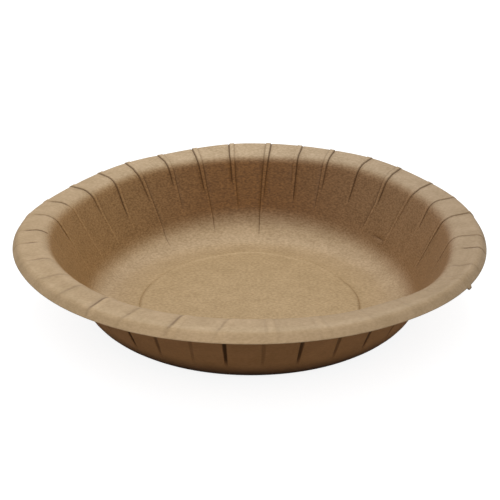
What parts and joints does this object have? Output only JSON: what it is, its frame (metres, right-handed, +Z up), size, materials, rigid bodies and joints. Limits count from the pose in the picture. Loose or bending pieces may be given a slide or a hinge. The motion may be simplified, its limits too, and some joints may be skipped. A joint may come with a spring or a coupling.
{
  "type": "paper plate",
  "caption": "Round deep kraft paper plate, pressed from one disc of board, with a pleated wall and rim.",
  "frame": {"origin": "centre of the plate, at the height of the flat ring that it stands on", "axes": "+Z up along the plate's axis, +Y away from the viewer of the picture, +X to the viewer's right"},
  "size_m": [0.18, 0.18, 0.0339],
  "materials": {
    "kraft_board": "satin"
  },
  "bodies": {
    "root": {"plate": "kraft_board"}
  },
  "joints": []
}
